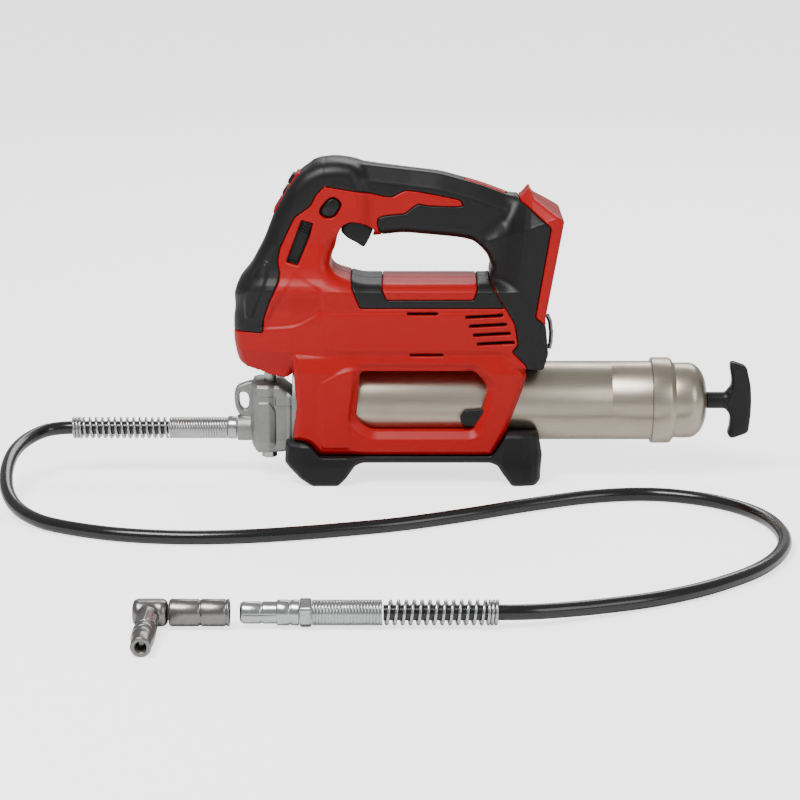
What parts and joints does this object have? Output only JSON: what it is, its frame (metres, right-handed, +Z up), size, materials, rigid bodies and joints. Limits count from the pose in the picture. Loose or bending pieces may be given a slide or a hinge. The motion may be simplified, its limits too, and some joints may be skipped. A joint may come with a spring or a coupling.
{
  "type": "grease gun",
  "caption": "Battery grease gun with a D handle, pump head, grease barrel with T-handle, flexible whip hose and a loose right-angle coupler adapter.",
  "frame": {"origin": "centre of the tool's footprint on the surface it stands on, measured without the hose and its fittings", "axes": "+X along the barrel towards the T-handle, +Z up, -Y the left side"},
  "size_m": [0.5361, 0.4681, 0.2297],
  "materials": {
    "red_plastic": "satin moulded nylon",
    "black_rubber": "matte overmould",
    "black_plastic": "fine moulded grain",
    "green_board": "solder mask",
    "brass": "stamped",
    "steel": "machined",
    "cast_head": "satin casting",
    "satin_nickel": "satin plated tube",
    "zinc_steel": "bright zinc",
    "gunmetal": "dark plated",
    "hose_rubber": "smooth gloss rubber"
  },
  "bodies": {
    "housing": {"housing_left": "red_plastic", "housing_right": "red_plastic", "panel_frame": "red_plastic", "nose_guard_left": "black_rubber", "nose_guard_right": "black_rubber", "grip_overmold_left": "black_rubber", "grip_overmold_right": "black_rubber", "waist_band_left": "black_rubber", "waist_band_right": "black_rubber", "base_skid": "black_rubber", "display_lens": "black_plastic", "switch_body": "black_plastic", "terminal_block": "black_plastic", "circuit_board": "green_board", "battery_contact_1": "brass", "battery_contact_2": "brass", "battery_contact_3": "brass", "motor_can": "steel", "rear_bearing": "steel", "ring_gear_case": "steel", "carrier_bearing": "steel", "check_ball": "steel", "housing_screw_1": "steel", "housing_screw_2": "steel", "housing_screw_3": "steel", "housing_screw_4": "steel", "strap_ring": "steel", "pump_head": "cast_head", "outlet_fitting": "zinc_steel", "ferrule_gun_end": "zinc_steel", "ferrule_far_end": "zinc_steel", "spring_guard_gun_end": "zinc_steel", "spring_guard_far_end": "zinc_steel", "lock_nut": "zinc_steel", "grease_coupler": "zinc_steel", "hose": "hose_rubber"},
    "trigger": {"trigger": "black_plastic"},
    "lock_button": {"lock_button": "black_plastic"},
    "speed_selector": {"speed_selector": "black_plastic"},
    "button_upper": {"button_upper": "black_plastic"},
    "button_lower": {"button_lower": "black_plastic"},
    "bleeder_valve": {"bleeder_valve": "steel"},
    "barrel": {"barrel": "satin_nickel", "barrel_cap": "satin_nickel", "follower_spring": "steel"},
    "follower": {"follower_cup": "black_plastic"},
    "plunger_rod": {"plunger_rod": "steel", "t_handle": "black_plastic"},
    "rotor": {"rotor": "steel", "sun_gear": "steel", "cooling_fan": "black_plastic"},
    "crank": {"crank_carrier": "steel"},
    "planet_1": {"planet_gear_1": "steel"},
    "planet_2": {"planet_gear_2": "steel"},
    "planet_3": {"planet_gear_3": "steel"},
    "plunger": {"plunger_yoke": "steel"},
    "adapter": {"adapter_sleeve": "gunmetal"},
    "adapter_elbow": {"adapter_elbow": "gunmetal", "adapter_coupler": "gunmetal"}
  },
  "joints": [
    {"name": "trigger_pull", "type": "hinge", "parent": "housing", "child": "trigger", "pos_m": [-0.107, 0, 0.18], "axis": [0, -1, 0], "range_deg": [0, 11], "stiffness_Nm_per_rad": 0.25, "springref_deg": -5.73},
    {"name": "lock_slide", "type": "slide", "parent": "housing", "child": "lock_button", "axis": [0, 1, 0], "range_m": [-0.003, 0.003]},
    {"name": "speed_select", "type": "slide", "parent": "housing", "child": "speed_selector", "axis": [-0.383, 0, -0.9237], "range_m": [0, 0.015]},
    {"name": "upper_button_press", "type": "slide", "parent": "housing", "child": "button_upper", "axis": [0.848, 0, -0.5299], "range_m": [0, 0.0008], "stiffness_N_per_m": 500, "springref_m": -0.0002},
    {"name": "lower_button_press", "type": "slide", "parent": "housing", "child": "button_lower", "axis": [0.848, 0, -0.5299], "range_m": [0, 0.0008], "stiffness_N_per_m": 500, "springref_m": -0.0002},
    {"name": "bleeder_turn", "type": "hinge", "parent": "housing", "child": "bleeder_valve", "pos_m": [-0.161, 0, 0.014], "axis": [0, 0, 1], "range_deg": [0, 540]},
    {"name": "barrel_turn", "type": "hinge", "parent": "housing", "child": "barrel", "pos_m": [0, 0, 0.05405], "axis": [1, 0, 0], "range_deg": [0, 1080]},
    {"name": "follower_slide", "type": "slide", "parent": "barrel", "child": "follower", "axis": [1, 0, 0], "range_m": [0, 0.185], "deforming": ["follower_spring"]},
    {"name": "rod_twist", "type": "hinge", "parent": "follower", "child": "plunger_rod", "pos_m": [0, 0, 0.05405], "axis": [1, 0, 0], "range_deg": [-90, 90]},
    {"name": "motor_spin", "type": "hinge", "parent": "housing", "child": "rotor", "pos_m": [0, 0, 0.112], "axis": [1, 0, 0], "continuous": true},
    {"name": "crank_spin", "type": "hinge", "parent": "housing", "child": "crank", "pos_m": [0, 0, 0.112], "axis": [1, 0, 0], "continuous": true},
    {"name": "planet_spin_1", "type": "hinge", "parent": "crank", "child": "planet_1", "pos_m": [-0.074, 0.0135, 0.112], "axis": [1, 0, 0], "continuous": true},
    {"name": "planet_spin_2", "type": "hinge", "parent": "crank", "child": "planet_2", "pos_m": [-0.074, -0.00675, 0.12369], "axis": [1, 0, 0], "continuous": true},
    {"name": "planet_spin_3", "type": "hinge", "parent": "crank", "child": "planet_3", "pos_m": [-0.074, -0.00675, 0.10031], "axis": [1, 0, 0], "continuous": true},
    {"name": "plunger_stroke", "type": "slide", "parent": "housing", "child": "plunger", "axis": [0, 0, 1], "range_m": [-0.006, 0.006]},
    {"name": "adapter_push_on", "type": "slide", "parent": "housing", "child": "adapter", "axis": [1, 0, 0], "range_m": [0, 0.026]},
    {"name": "adapter_swivel", "type": "hinge", "parent": "adapter", "child": "adapter_elbow", "pos_m": [-0.2, -0.3679, 0.0093], "axis": [1, 0, 0], "continuous": true}
  ],
  "couplings": [
    {"joint": "crank_spin", "follows": "motor_spin", "ratio": 0.22222},
    {"joint": "planet_spin_1", "follows": "motor_spin", "ratio": -0.62222},
    {"joint": "planet_spin_2", "follows": "motor_spin", "ratio": -0.62222},
    {"joint": "planet_spin_3", "follows": "motor_spin", "ratio": -0.62222}
  ]
}
